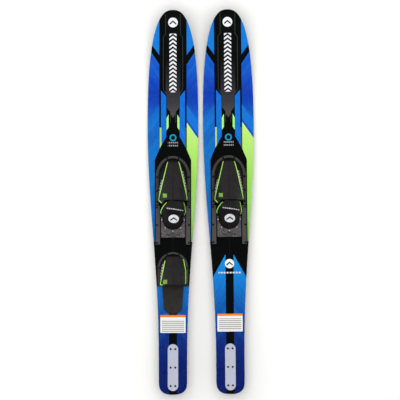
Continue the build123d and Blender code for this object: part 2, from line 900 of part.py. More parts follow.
def lock_bar(side):
    """Bar that reaches from the carriage to the rack, with one tooth at its tip."""
    low = slider_bottom
    high = low + lock_bar_height
    half = lock_bar_width / 2
    shoulder = slider_flange_half_width - 1
    tip = groove_wall - rack_clearance
    tooth = rack_pitch / 4 - slide_clearance
    bar = block(lock_bar_travel + 1, shoulder, lock_bar_y - half, lock_bar_y + half, low, high)
    bar += block(shoulder - over, tip, lock_bar_y - tooth, lock_bar_y + tooth, low, high)
    return bar if side > 0 else mirror(bar, about=Plane.YZ)


def write(name, solids, right):
    """Place one node's solids on the floor and save them."""
    group = solids if isinstance(solids, list) else [solids]
    placed = [place(solid, right) for one in group for solid in one.solids()]
    export_step(placed[0] if len(placed) == 1 else Compound(children=placed), f"parts/{name}.step")


def build_ski(right):
    """Write every node of one ski."""
    prefix = "right" if right else "left"
    inner = -1 if right else 1
    nodes = {
        "deck": ski_deck(right),
        "core": ski_core(right),
        "base": ski_base(),
        "inserts": inserts(right),
        "fin": fin(),
        "fin_plate": fin_plate(),
        "fin_screws": fin_screws(),
        "toe_frame": toe_frame(),
        "toe_upper": toe_upper(),
        "toe_trim": toe_trim(toe_shape(), toe_trim_shares),
        "toe_bed": toe_bed(),
        "inner_rail": rail(inner),
        "outer_rail": rail(-inner),
        "binding_screws": binding_screws(),
        "slider_carriage": slider_carriage(),
        "slider_cover": slider_cover(),
        "slider_rivets": slider_rivets(),
        "heel_upper": heel_upper(),
        "heel_trim": heel_trim(),
        "heel_bed": heel_bed(),
        "heel_badge": heel_badge(),
        "lock_lever": lock_lever(),
        "lever_pin": lever_pin(),
        "lever_spring": lever_spring(),
        "inner_lock_bar": lock_bar(inner),
        "outer_lock_bar": lock_bar(-inner),
    }
    if not right:
        nodes["rear_frame"] = rear_frame()
        nodes["rear_upper"] = rear_upper()
        nodes["rear_trim"] = toe_trim(rear_shape(), rear_trim_shares)
        nodes["rear_pad"] = rear_pad()
        top = flange_top + frame_height
        nodes["rear_screws"] = frame_screws(rear_screw_places(), top, rear_screw_head_radius)
    for name, solids in nodes.items():
        write(f"{prefix}_{name}", solids, right)


os.makedirs("parts", exist_ok=True)
for is_right in (False, True):
    build_ski(is_right)
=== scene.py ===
import json
import math

import bmesh
import bpy
import numpy as np
from mathutils import Matrix, Vector


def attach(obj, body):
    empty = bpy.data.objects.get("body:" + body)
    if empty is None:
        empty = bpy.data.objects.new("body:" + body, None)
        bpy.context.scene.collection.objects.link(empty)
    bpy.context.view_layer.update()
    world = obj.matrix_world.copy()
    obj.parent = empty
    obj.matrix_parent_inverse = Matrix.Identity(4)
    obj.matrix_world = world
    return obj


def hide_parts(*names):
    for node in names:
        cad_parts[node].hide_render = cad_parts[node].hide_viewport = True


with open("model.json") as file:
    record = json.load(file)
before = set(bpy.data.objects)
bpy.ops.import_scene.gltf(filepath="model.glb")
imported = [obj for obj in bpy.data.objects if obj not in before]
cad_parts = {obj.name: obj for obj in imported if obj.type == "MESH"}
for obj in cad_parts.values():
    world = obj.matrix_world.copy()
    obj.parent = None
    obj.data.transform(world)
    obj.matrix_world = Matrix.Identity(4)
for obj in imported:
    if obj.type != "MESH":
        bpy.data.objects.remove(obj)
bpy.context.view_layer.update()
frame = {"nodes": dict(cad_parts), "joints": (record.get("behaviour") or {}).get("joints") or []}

# ---------------------------------------------------------------------------------------------
# The floor that the pair lies on, with the light and the camera. A plain matt pale floor, and the
# soft light of a white tent and an overhead silk. The tent's top is left dark and the silk shows in
# no reflection, so that gloss seen from above stays deep.

PAGE_SIZE = 1.7315
CAMERA_CENTRE = (-0.0028, 0.0088)
TENT_LIGHT = 0.85
TENT_TOP = 0.03
TENT_TOP_STARTS = 0.52


def paint(red, green, blue):
    """Linear colour of a paint given as screen values from 0 to 255."""
    screen = np.array([red, green, blue]) / 255
    return (*np.where(screen <= 0.04045, screen / 12.92, ((screen + 0.055) / 1.055) ** 2.4), 1.0)


class Finish:
    """A material while it is mixed. add() makes a node, feeds its inputs and gives one output."""

    def __init__(self, name, **constants):
        self.material = bpy.data.materials.new(name)
        self.material.use_nodes = True
        self.tree = self.material.node_tree
        self.shader = self.tree.nodes["Principled BSDF"]
        for socket, value in constants.items():
            self.feed(self.shader, socket.replace("_", " "), value)
        self.place = self.add("TexCoord", out="Object")

    def feed(self, node, socket, value):
        """Link a value that comes out of a node, or set one that is constant."""
        if isinstance(value, bpy.types.NodeSocket):
            self.tree.links.new(value, node.inputs[socket])
        else:
            node.inputs[socket].default_value = value

    def add(self, kind, inputs=(), out=0, **settings):
        """A node of a kind, with its inputs fed and its settings made: gives one output."""
        node = self.tree.nodes.new("ShaderNode" + kind)
        for setting, value in settings.items():
            setattr(node, setting, value)
        for socket, value in dict(inputs).items():
            self.feed(node, socket, value)
        return node.outputs[out]

    def work(self, operation, *terms):
        """One step of arithmetic on two or three numbers."""
        return self.add("Math", enumerate(terms), operation=operation)

    def lay(self, under, share, over):
        """One colour laid over another by a share from 0 to 1."""
        return self.add("Mix", {0: share, 6: under, 7: over}, out=2, data_type="RGBA")

    def ramp(self, value, stops):
        """Colours by a value from 0 to 1: each stop is a position and a colour."""
        output = self.add("ValToRGB", {0: value})
        bar = output.node.color_ramp.elements
        while len(bar) < len(stops):
            bar.new(1.0)
        for element, (position, colour) in zip(bar, stops):
            element.position, element.color = position, colour
        return output

    def noise(self, size, stretch=(1, 1, 1), detail=3, roughness=0.55):
        """Noise whose lumps are size metres across, longer where a stretch is over 1."""
        scale = [1 / (size * s) for s in stretch]
        place = self.add("Mapping", {"Vector": self.place, "Scale": scale})
        return self.add("TexNoise", {"Vector": place, "Scale": 1, "Detail": detail, "Roughness": roughness})

    def span(self, value, low, high, to_low, to_high):
        """A value taken from one range to another, held at the ends."""
        return self.add("MapRange", {0: value, 1: low, 2: high, 3: to_low, 4: to_high})

    def relief(self, height, depth, strength=1):
        """Bump of a depth in metres from a height between 0 and 1."""
        bump = self.add("Bump", {"Strength": strength, "Distance": depth, "Height": height})
        self.feed(self.shader, "Normal", bump)

    def colour(self, value):
        """The colour that the surface ends up with."""
        self.feed(self.shader, "Base Color", value)

    def gloss(self, value, low, high):
        """Roughness that wanders between two values."""
        self.feed(self.shader, "Roughness", self.span(value, 0.3, 0.7, low, high))


floor_finish = Finish("pale_floor", Roughness=0.9)
floor_finish.colour(floor_finish.lay(paint(255, 255, 254), floor_finish.noise(0.3), paint(253, 253, 253)))
FLOOR_HALF = 14
FLOOR_DROP = 0.0004
corners = ((-1, -1), (1, -1), (1, 1), (-1, 1))
floor_mesh = bpy.data.meshes.new("floor")
floor_points = [(FLOOR_HALF * x, FLOOR_HALF * y, -FLOOR_DROP) for x, y in corners]
floor_mesh.from_pydata(floor_points, [], [(0, 1, 2, 3)])
floor_mesh.materials.append(floor_finish.material)
floor = bpy.data.objects.new("floor", floor_mesh)
bpy.context.scene.collection.objects.link(floor)

tent = bpy.data.worlds.new("tent")
tent.use_nodes = True
sky = tent.node_tree
bpy.context.scene.world = tent
where = sky.nodes.new("ShaderNodeTexCoord").outputs["Generated"]
rise = sky.nodes.new("ShaderNodeSeparateXYZ")
level = sky.nodes.new("ShaderNodeMapRange")
sky.links.new(where, rise.inputs[0])
sky.links.new(rise.outputs["Z"], level.inputs[0])
level.interpolation_type = "SMOOTHSTEP"
for socket, value in enumerate((TENT_TOP_STARTS, TENT_TOP_STARTS + 0.16, TENT_LIGHT, TENT_TOP), start=1):
    level.inputs[socket].default_value = value
backdrop = sky.nodes["Background"]
backdrop.inputs["Color"].default_value = (1.0, 1.0, 1.0, 1.0)
sky.links.new(level.outputs[0], backdrop.inputs["Strength"])

bpy.context.scene.view_settings.view_transform = "Standard"
for name, spot, watts, size in (
    ("softbox_left", (-2.6, 0.5, 2.0), 20, (1.2, 2.6)),
    ("softbox_right", (2.4, 0.8, 1.8), 10, (1.0, 2.4)),
    ("softbox_tips", (-0.4, 2.9, 1.6), 8, (2.0, 0.8)),
    ("silk_overhead", (0.0, 0.0, 3.2), 105, (4.6, 4.6)),
):
    lamp = bpy.data.lights.new(name, "AREA")
    lamp.shape, lamp.energy, lamp.size, lamp.size_y = "RECTANGLE", watts, *size
    box_light = bpy.data.objects.new(name, lamp)
    box_light.location = spot
    box_light.rotation_euler = Vector(spot).to_track_quat("Z", "Y").to_euler()
    box_light.visible_camera = False
    box_light.visible_glossy = name != "silk_overhead"
    bpy.context.scene.collection.objects.link(box_light)

camera_data = bpy.data.cameras.new("camera")
camera_data.type = "ORTHO"
camera_data.ortho_scale = PAGE_SIZE
camera = bpy.data.objects.new("camera", camera_data)
camera.location = (*CAMERA_CENTRE, 4.0)
bpy.context.scene.collection.objects.link(camera)
bpy.context.scene.camera = camera

# ---------------------------------------------------------------------------------------------
# The ski blanks: a moulded foam core between a gloss top skin, printed before it is moulded on,
# and a gloss black base. The print is laid out in each ski's own frame, in millimetres.

LEVER_PIN = Vector((0, -134.0, 25.6)) / 1000
BLACK = paint(7, 9, 9)
WHITE = paint(236, 236, 238)
LINE_OLIVE = paint(52, 62, 46)
STRIP_BLUE = paint(0, 108, 212)
LIGHT_BLUE = paint(6, 128, 214)
SLIVER_LIME = paint(166, 240, 122)
TEAL = paint(0, 150, 190)
PANEL = 59
LABEL_HALF, LABEL_HEIGHT, LABEL_BAND = 54.5, 77, 9.5
LABEL_TOP = {"left": -487, "right": -484}
RULE_HALF, RULE_PITCH, RULE_FIRST, RULE_LAST = 49, 8.6, 20, 72
COLUMN_HALF, COLUMN_LOW, COLUMN_HIGH, CHEVRON_PITCH = 15.5, 478, 730, 18.0
TIP_DISC, REAR_DISC = (778, 21), (-267, 20)
RING_MIDDLE, RING_OUTER, RING_INNER = 281, 15, 9
DIAGONAL = 1.42
BLUE_ALONG = (
    (832, (0, 122, 222)), (668, (2, 124, 222)), (640, (5, 90, 205)), (590, (4, 80, 202)),
    (520, (3, 64, 188)), (470, (0, 58, 178)), (430, (2, 66, 184)), (390, (4, 86, 192)),
    (340, (5, 98, 194)), (280, (4, 98, 186)), (230, (5, 110, 198)), (180, (6, 110, 194)),
    (110, (0, 118, 204)), (20, (3, 112, 200)), (-90, (6, 100, 184)), (-170, (8, 96, 170)),
    (-226, (0, 150, 226)), (-330, (0, 128, 216)), (-410, (0, 96, 184)), (-480, (0, 80, 166)),
    (-560, (2, 48, 136)), (-620, (2, 38, 124)), (-700, (0, 28, 108)), (-832, (0, 26, 102)),
)
LIME_ALONG = (
    (347, (200, 238, 132)), (280, (188, 232, 120)), (220, (174, 228, 108)), (110, (166, 225, 94)),
    (0, (160, 227, 104)), (-90, (148, 200, 98)), (-170, (120, 170, 90)),
)
CENTRE_ALONG = (
    (620, (8, 12, 12)), (500, (40, 40, 46)), (430, (57, 55, 60)), (385, (74, 70, 71)), (352, (66, 60, 62)),
)
OUTLINE = ((814, 32), (730, 32), (714, 42), (491, 42), (461, 25), (411, 25), (393, 11.5), (347, 11.5))


def ski_place(side):
    """Matrix from a ski's own frame to where it lies: its axes are the heel slide's and the
    lever hinge's, and its origin is counted back from the lever's pin."""
    joints = {joint["name"]: joint for joint in frame["joints"]}
    along = Vector(joints[side + "_heel_slide"]["axis"])
    across = -Vector(joints[side + "_lever_hinge"]["axis"])
    turn = Matrix((across, along, across.cross(along))).transposed().to_4x4()
    pin = Vector(joints[side + "_lever_hinge"]["pos_m"])
    return Matrix.Translation(pin) @ turn @ Matrix.Translation(-LEVER_PIN)


PLACE = {side: ski_place(side) for side in ("left", "right")}


def on_ski(finish, side):
    """Millimetres across and along a ski at the point that is being coloured."""
    place = PLACE[side]
    spot = finish.add(
        "Mapping",
        {
            "Vector": finish.place,
            "Location": place.translation,
            "Rotation": place.to_euler(),
            "Scale": (0.001, 0.001, 0.001),
        },
        vector_type="TEXTURE",
    )
    parts = finish.add("SeparateXYZ", {0: spot}).node.outputs
    return parts["X"], parts["Y"]


def patch(finish, spot, corners):
    """1 inside a convex patch and 0 outside. spot holds across, along and 1, so its product with an
    edge's normal and offset is how far it lies inside that edge; the smallest of these decides."""
    ring = np.array(corners, float)
    run = np.roll(ring, -1, axis=0) - ring
    after = np.roll(run, -1, axis=0)
    turn = np.sign(np.sum(run[:, 0] * after[:, 1] - run[:, 1] * after[:, 0]))
    normal = turn * np.column_stack([-run[:, 1], run[:, 0]]) / np.hypot(*run.T)[:, None]
    inside = None
    for edge, offset in zip(normal, -np.sum(normal * ring, axis=1)):
        depth = finish.add("VectorMath", {0: spot, 1: (*edge, offset)}, "Value", operation="DOT_PRODUCT")
        inside = depth if inside is None else finish.work("MINIMUM", inside, depth)
    return finish.work("GREATER_THAN", inside, 0)


def disc(finish, spot, centre, radius):
    """1 within a radius of a centre and 0 outside."""
    gap = finish.add("VectorMath", {0: spot, 1: (*centre, 1)}, "Value", operation="DISTANCE")
    return finish.work("LESS_THAN", gap, radius)


def colours_along(finish, along, stops):
    """Colours by distance along a ski, from stops of millimetres and screen colour."""
    low, high = stops[-1][0], stops[0][0]
    share = finish.span(along, low, high, 0, 1)
    return finish.ramp(share, [((v - low) / (high - low), paint(*c)) for v, c in reversed(stops)])


def both(finish, *masks):
    """Where every mask holds."""
    held = masks[0]
    for mask in masks[1:]:
        held = finish.work("MULTIPLY", held, mask)
    return held


def dashes(finish, across, spot, half, middle, height, pitch):
    """A broken line across the ski."""
    beat = finish.work("LESS_THAN", finish.work("FRACT", finish.work("DIVIDE", across, pitch)), 0.66)
    low, high = middle - height / 2, middle + height / 2
    return both(finish, beat, patch(finish, spot, [(-half, low), (half, low), (half, high), (-half, high)]))


def feathers(finish, across_size, along):
    """Slanted light and dark bands: noise along a coordinate that runs down and outwards below the
    shoulder and up and outwards above it, with fine fibres along the ski."""
    flip = finish.span(finish.work("GREATER_THAN", along, 455), 0, 1, DIAGONAL, -DIAGONAL)
    slant = finish.work("MULTIPLY_ADD", across_size, flip, along)
    bands = finish.add("TexNoise", {"W": slant, "Scale": 0.021, "Detail": 1.5}, noise_dimensions="1D")
    stretched = finish.add("CombineXYZ", {0: across_size, 1: finish.work("MULTIPLY", along, 0.03)})
    fibres = finish.add("TexNoise", {"Vector": stretched, "Scale": 0.35, "Detail": 3})
    bands = finish.span(bands, 0.42, 0.60, 0, 1)
    return bands, finish.span(fibres, 0.35, 0.65, 0, 1)


def deck_print(side):
    """Printed top skin of one ski, from the ground blue to the last mark, each laid over the last."""
    finish = Finish(side + "_deck_print", Coat_Weight=0.2, Coat_Roughness=0.06, Specular_IOR_Level=0.18)
    across, along = on_ski(finish, side)
    size = finish.work("ABSOLUTE", across)
    spot = finish.add("CombineXYZ", {0: across, 1: along, 2: 1.0})
    mirrored = finish.add("CombineXYZ", {0: size, 1: along, 2: 1.0})
    bands, fibres = feathers(finish, size, along)

    def plain(corners, colour, under, where=mirrored):
        """A patch of one colour laid over what is there, on both halves unless a place is given."""
        return finish.lay(under, patch(finish, where, corners), colour)

    blue = colours_along(finish, along, BLUE_ALONG)
    shoulder = finish.span(finish.work("ABSOLUTE", finish.work("SUBTRACT", along, 455)), 20, 110, 0, 1)
    strength = finish.span(along, -220, -100, 0.45, 0.34)
    lit = finish.lay(blue, both(finish, bands, shoulder, strength), LIGHT_BLUE)
    fading = finish.span(along, -640, -380, 0, 1)
    blue = finish.lay(blue, fading, lit)
    darker = finish.lay(blue, 0.28, BLACK)
    blue = finish.lay(darker, finish.span(fibres, 0, 1, 0.35, 1), blue)
    feather = [(PANEL, 361), (115, 283), (115, 344), (PANEL, 424)]
    colour = finish.lay(blue, finish.work("MULTIPLY", patch(finish, mirrored, feather), 0.3), LIGHT_BLUE)
    colour = plain(feather, paint(4, 112, 208), colour, spot)
    colour = plain([(PANEL, 347), (115, 269), (115, 284), (PANEL, 362)], paint(2, 72, 186), colour, spot)

    lime = colours_along(finish, along, LIME_ALONG)
    lime = finish.lay(lime, finish.work("MULTIPLY", fibres, 0.16), paint(110, 196, 60))
    colour = plain([(60, 347), (115, 269), (115, -300), (60, -300)], lime, colour, spot)

    colour = plain([(PANEL, 597), (PANEL, 637), (115, 716), (115, 682)], BLACK, colour)
    colour = plain([(-PANEL, 900), (PANEL, 900), (PANEL, 325), (-PANEL, 325)], BLACK, colour, spot)
    centre = colours_along(finish, along, CENTRE_ALONG)
    strips = finish.lay(STRIP_BLUE, finish.work("MULTIPLY", bands, 0.5), LIGHT_BLUE)
    strips = finish.lay(strips, finish.work("MULTIPLY", fibres, 0.3), paint(0, 70, 186))
    colour = plain([(29, 459), (52, 486), (52, 232), (29, 232)], strips, colour)
    colour = plain([(52, 325), (PANEL, 325), (PANEL, 232), (52, 232)], strips, colour)
    colour = plain([(0, 330), (29, 330), (29, 232), (0, 232)], BLACK, colour)
    colour = plain([(-57, 325), (-50, 325), (-50, 232), (-57, 232)], paint(176, 206, 92), colour, spot)
    colour = plain([(53, 325), (60, 325), (60, 232), (53, 232)], paint(58, 84, 30), colour, spot)

    line = finish.span(along, OUTLINE[-1][0], OUTLINE[0][0], 0, 1)
    tall = OUTLINE[0][0] - OUTLINE[-1][0]
    places = [((v - OUTLINE[-1][0]) / tall, (a / 50,) * 3 + (1,)) for v, a in reversed(OUTLINE)]
    reach = finish.work("MULTIPLY", finish.ramp(line, places), 50)
    within = finish.work("LESS_THAN", size, reach)
    tapering = finish.work("LESS_THAN", size, finish.span(along, 366, 420, 0, 32))
    upto = patch(finish, spot, [(-45, 347), (45, 347), (45, 814), (-45, 814)])
    colour = finish.lay(colour, both(finish, within, tapering, upto), centre)
    ring = finish.work("COMPARE", size, reach, 1.15)
    colour = finish.lay(colour, both(finish, ring, upto), LINE_OLIVE)
    colour = plain([(19, 382), (28, 366), (28, 313), (19, 326)], SLIVER_LIME, colour)

    flare = [(0, 284), (30, 284), (PANEL, 232), (79, 184), (79, 0), (0, 0)]
    colour = plain(flare, BLACK, colour)
    colour = plain([(0, 20), (79, 20), (79, -180), (0, -180)], BLACK, colour)
    colour = plain([(0, -170), (115, -170), (115, -900), (0, -900)], BLACK, colour)
    tail_start = [(17.3, -362), (115, -362)] if side == "left" else [(17.3, -227), (115, -402)]
    colour = plain([*tail_start, (115, -900), (17.3, -900)], blue, colour)
    crease = both(finish, finish.work("COMPARE", across, 0, 0.8), finish.work("COMPARE", along, -189, 38))
    colour = finish.lay(colour, crease, paint(22, 24, 26))

    beat = finish.work("MULTIPLY_ADD", size, 0.75, along)
    beat = finish.work("DIVIDE", finish.work("SUBTRACT", beat, COLUMN_LOW), CHEVRON_PITCH)
    beat = finish.work("FRACT", beat)
    rows = (COLUMN_LOW, COLUMN_LOW, COLUMN_HIGH, COLUMN_HIGH)
    column = patch(finish, spot, list(zip((-COLUMN_HALF, COLUMN_HALF, COLUMN_HALF, -COLUMN_HALF), rows)))
    colour = finish.lay(colour, both(finish, column, finish.work("LESS_THAN", beat, 0.5)), WHITE)
    marks = [TIP_DISC] if side == "left" else [TIP_DISC, REAR_DISC]
    for middle, radius in marks:
        colour = finish.lay(colour, disc(finish, spot, (0, middle), radius), WHITE)
        bend = finish.work("MULTIPLY_ADD", size, 0.85, along)
        arrow = both(
            finish,
            finish.work("COMPARE", bend, middle + 5, 3.6),
            disc(finish, spot, (0, middle), radius - 5),
        )
        colour = finish.lay(colour, arrow, BLACK)
    outside = disc(finish, spot, (0, RING_MIDDLE), RING_OUTER)
    ring = finish.work("SUBTRACT", outside, disc(finish, spot, (0, RING_MIDDLE), RING_INNER))
    colour = finish.lay(colour, ring, TEAL)
    for middle in (260, 247):
        colour = finish.lay(colour, dashes(finish, across, spot, 22, middle, 6, 9), paint(150, 152, 156))
    if side == "right":
        colour = finish.lay(colour, dashes(finish, across, spot, 48, -306, 6.5, 13), paint(220, 220, 225))

    top = LABEL_TOP[side]

    def across_panel(half, start, end):
        """Corners of a plain oblong on the label, from one distance below its top to another."""
        return [(-half, top - start), (half, top - start), (half, top - end), (-half, top - end)]

    label = across_panel(LABEL_HALF, 0, LABEL_HEIGHT)
    colour = plain(label, paint(238, 238, 236), colour, spot)
    band = across_panel(LABEL_HALF, 0, LABEL_BAND)
    colour = plain(band, paint(252, 126, 8), colour, spot)
    rules = finish.work("LESS_THAN", finish.work("FRACT", finish.work("DIVIDE", along, RULE_PITCH)), 0.5)
    ruled = patch(finish, spot, across_panel(RULE_HALF, RULE_FIRST, RULE_LAST))
    colour = finish.lay(colour, both(finish, rules, ruled), paint(158, 158, 154))
    finish.colour(colour)
    finish.gloss(finish.noise(0.05), 0.22, 0.34)
    finish.relief(finish.noise(0.0022, detail=2), 0.00001)
    return finish.material


def dress(node, material):
    """Give a piece that keeps its moulded or machined shape its finish."""
    for slot in frame["nodes"][node].material_slots:
        slot.material = material


for side in ("left", "right"):
    dress(side + "_deck", deck_print(side))

core_finish = Finish("foam_core", Roughness=0.75)
core_finish.colour(core_finish.lay(paint(206, 196, 168), core_finish.noise(0.004), paint(182, 170, 140)))
core_finish.relief(core_finish.noise(0.0015), 0.0002)

base_finish = Finish("base_gloss", Coat_Weight=0.3, Coat_Roughness=0.1)
flow = base_finish.noise(0.03, (1, 9, 1))
base_finish.colour(base_finish.lay(paint(16, 17, 19), flow, paint(26, 27, 30)))
base_finish.gloss(flow, 0.24, 0.38)
base_finish.relief(base_finish.noise(0.0025), 0.00001)

for side in ("left", "right"):
    dress(side + "_core", core_finish.material)
    dress(side + "_base", base_finish.material)

# ---------------------------------------------------------------------------------------------
# The fins: glass-filled nylon, moulded, each held by six countersunk black screws through a satin
# anodised aluminium plate that lies on the tail.


def moulded(name, dark, light, low=0.42, high=0.6, grain=0.0007, depth=0.00005):
    """Satin moulded plastic with a spark-eroded grain and faint flow clouds."""
    finish = Finish(name, Specular_IOR_Level=0.22)
    clouds = finish.noise(0.02, (1, 1.6, 1))
    pits = finish.noise(grain, detail=4)
    tone = finish.lay(dark, clouds, light)
    finish.colour(finish.lay(tone, finish.span(pits, 0.45, 0.7, 0, 0.35), dark))
    finish.gloss(clouds, low, high)
    finish.relief(pits, depth)
    return finish.material


def brushed(name, dark, light, metallic, low, high, stretch=(1, 40, 1), lines=0.0006):
    """Metal with fine lines drawn along the ski."""
    finish = Finish(name, Metallic=metallic)
    drawn = finish.noise(lines, stretch, detail=2)
    finish.colour(finish.lay(dark, drawn, light))
    finish.gloss(drawn, low, high)
    finish.relief(drawn, 0.00002)
    return finish.material


fin_material = moulded("fin_nylon", paint(18, 18, 20), paint(30, 30, 33))
plate_material = brushed(
    "fin_plate_satin", paint(174, 178, 196), paint(198, 201, 216), 0.15, 0.42, 0.55, lines=0.0016
)
screw_material = brushed("black_oxide", paint(9, 9, 10), paint(22, 22, 24), 0.6, 0.35, 0.5, (1, 1, 1))
for side in ("left", "right"):
    dress(side + "_fin", fin_material)
    dress(side + "_fin_plate", plate_material)
    dress(side + "_fin_screws", screw_material)

# ---------------------------------------------------------------------------------------------
# The toe pieces: a hood moulded from foam rubber, its pleated tongue set between two lime edgings,
# clamped to the deck by a grained nylon frame with black screws. A foam bed lies under the toes.

TOE = {
    "closed": 191.0, "open": 6.5, "nose": 81.6, "half": 61.0, "height": 100.0, "power": 0.62,
    "floor": 20.0, "flare": 0.0, "square": 0.15,
}
TOE_WALL = 3.5
TOE_TRIM = (((178.0, 22.5), (10.0, 62.0)),) * 2
RUBBER_TONGUE = (37, 35, 36)
# Flanks of the toe hoods: near-black rubber, darker than the tongue partly in its own tone and partly as
# painted shade for the gap between frame and hood.
RUBBER_SIDE_AND_SHADE = (9, 9, 10)
RUBBER_INSIDE = (8, 8, 9)
TRIM_LIME = (169, 231, 96)
PRINT_PALE = (188, 184, 196)
AROUND = 141
DOWN = 121


def step(value, edge, soft):
    """0 below an edge and 1 above it, smooth over a soft width."""
    share = np.clip((value - edge) / soft + 0.5, 0, 1)
    return share**2 * (3 - 2 * share)


def hood(shape, angle, reach):
    """Point of a hood. reach is the distance from its closed end: the half width is a quarter
    ellipse over the nose, then constant, plus a smooth flare; the height is a power of the reach's
    share. angle goes round the arch, from -90 degrees to 90: across is half width times its sine,
    raised on the right to a power that squares the arch, and up is height times its cosine."""
    way = math.copysign(1, shape["open"] - shape["closed"])
    length = abs(shape["open"] - shape["closed"])
    half = shape["half"] * np.sqrt(1 - (1 - np.clip(reach / shape["nose"], 0, 1)) ** 2)
    spread = np.clip((reach - shape["nose"] * 1.2) / 25, 0, 1)
    half = half + shape["flare"] * spread**2 * (3 - 2 * spread)
    height = shape["height"] * np.maximum(reach / length, 0) ** shape["power"]
    share = np.sin(angle)
    across = half * np.sign(share) * np.abs(share) ** (1 - shape["square"] * step(share, 0.2, 0.5))
    along = shape["closed"] + way * reach
    return np.stack(np.broadcast_arrays(across, along, shape["floor"] + height * np.cos(angle)), axis=-1)


def hollow(shape, wall):
    """The inside of a hood: smaller by its wall, and thicker at the closed end."""
    way = math.copysign(1, shape["open"] - shape["closed"])
    return {
        **shape,
        "closed": shape["closed"] + 2 * wall * way,
        "nose": shape["nose"] - wall,
        "half": shape["half"] - wall,
        "height": shape["height"] - wall,
    }


def facing(grid):
    """Unit normals of a grid, from the cross product of its two directions."""
    normal = np.cross(np.gradient(grid, axis=1), np.gradient(grid, axis=0))
    return normal / np.maximum(np.linalg.norm(normal, axis=-1, keepdims=True), 1e-9)


def shell(outer, inner, bead=1.6):
    """Grids of a closed wall: the outside, the inside, a rolled rim between their last rows and a
    flat foot between their first and last columns."""
    leave = outer[-1] - outer[-2]
    leave /= np.maximum(np.linalg.norm(leave, axis=-1, keepdims=True), 1e-9)
    share = np.linspace(0, 1, 7)[:, None, None]
    rim = outer[-1] * (1 - share) + inner[-1] * share + leave * bead * np.sin(np.pi * share)
    feet = [np.stack([outer[:, k], inner[:, k]], axis=1) for k in (0, -1)]
    return [outer, inner, rim, *feet]


def make(name, side, grids, material, colours=None):
    """Object from grids of points in a ski's millimetres. Each grid's neighbouring points make
    quads; the seams are merged and the faces turned outwards."""
    points, quads, start = [], [], 0
    for grid in grids:
        rows, columns = grid.shape[:2]
        index = np.arange(rows * columns).reshape(rows, columns) + start
        quads.append(
            np.stack([index[:-1, :-1], index[:-1, 1:], index[1:, 1:], index[1:, :-1]], axis=-1).reshape(-1, 4)
        )
        points.append(grid.reshape(-1, 3))
        start += rows * columns
    points = np.concatenate(points)
    turn = np.array(PLACE[side])
    world = points / 1000 @ turn[:3, :3].T + turn[:3, 3]
    mesh = bpy.data.meshes.new(name)
    mesh.from_pydata(world, [], np.concatenate(quads))
    if colours is not None:
        screen = np.concatenate([c.reshape(-1, 3) for c in colours]) / 255
        linear = np.where(screen <= 0.04045, screen / 12.92, ((screen + 0.055) / 1.055) ** 2.4)
        tint = mesh.attributes.new("tint", "FLOAT_COLOR", "POINT")
        tint.data.foreach_set("color", np.column_stack([linear, np.ones(len(linear))]).ravel())
    work = bmesh.new()
    work.from_mesh(mesh)
    bmesh.ops.remove_doubles(work, verts=work.verts, dist=2e-6)
    bmesh.ops.recalc_face_normals(work, faces=work.faces)
    work.to_mesh(mesh)
    work.free()
    mesh.polygons.foreach_set("use_smooth", np.ones(len(mesh.polygons), bool))
    mesh.materials.append(material)
    made = bpy.data.objects.new(name, mesh)
    bpy.context.scene.collection.objects.link(made)
    return made


def filled(colour, grid):
    """One colour for every point of a grid."""
    return np.broadcast_to(np.array(colour, float), grid.shape)


def over(colours, share, colour):
    """A colour laid over a grid's colours by a share."""
    return colours * (1 - share[..., None]) + np.array(colour, float) * share[..., None]


def trim_share(shape, reach, ends):
    """How far out across the arch an edging lies, as a share of the half width: in plan it is a
    straight line between two points, each given as along and across."""
    along = shape["closed"] + math.copysign(1, shape["open"] - shape["closed"]) * reach
    way = (along - ends[0][0]) / (ends[1][0] - ends[0][0])
    half = shape["half"] * np.sqrt(1 - (1 - np.clip(reach / shape["nose"], 0.02, 1)) ** 2)
    return np.clip((ends[0][1] + (ends[1][1] - ends[0][1]) * way) / half, 0.3, 0.975)


